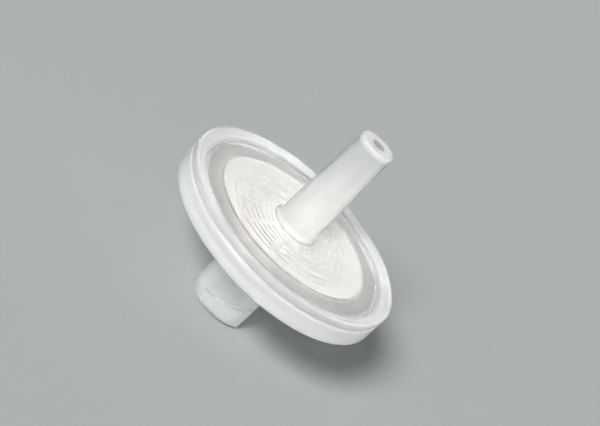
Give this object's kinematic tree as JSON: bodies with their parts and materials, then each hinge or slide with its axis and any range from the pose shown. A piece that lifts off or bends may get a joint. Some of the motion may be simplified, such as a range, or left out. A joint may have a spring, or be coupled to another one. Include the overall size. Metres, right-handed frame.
{
  "type": "syringe filter",
  "caption": "Round welded syringe filter with a clamped membrane disc, a lugged inlet socket and a tapered outlet nozzle.",
  "frame": {"origin": "centre of the inlet socket's open end, on which the filter stands", "axes": "+Z along the axis of flow, from the inlet socket to the tip of the outlet nozzle; -Y looks at the middle of one locking lug's flank"},
  "size_m": [0.026, 0.026, 0.0246],
  "materials": {
    "housing_plastic": "translucent natural polypropylene, satin",
    "membrane_film": "white microporous film, matt"
  },
  "bodies": {
    "root": {"inlet_housing": "housing_plastic", "outlet_housing": "housing_plastic", "membrane": "membrane_film"}
  },
  "joints": []
}
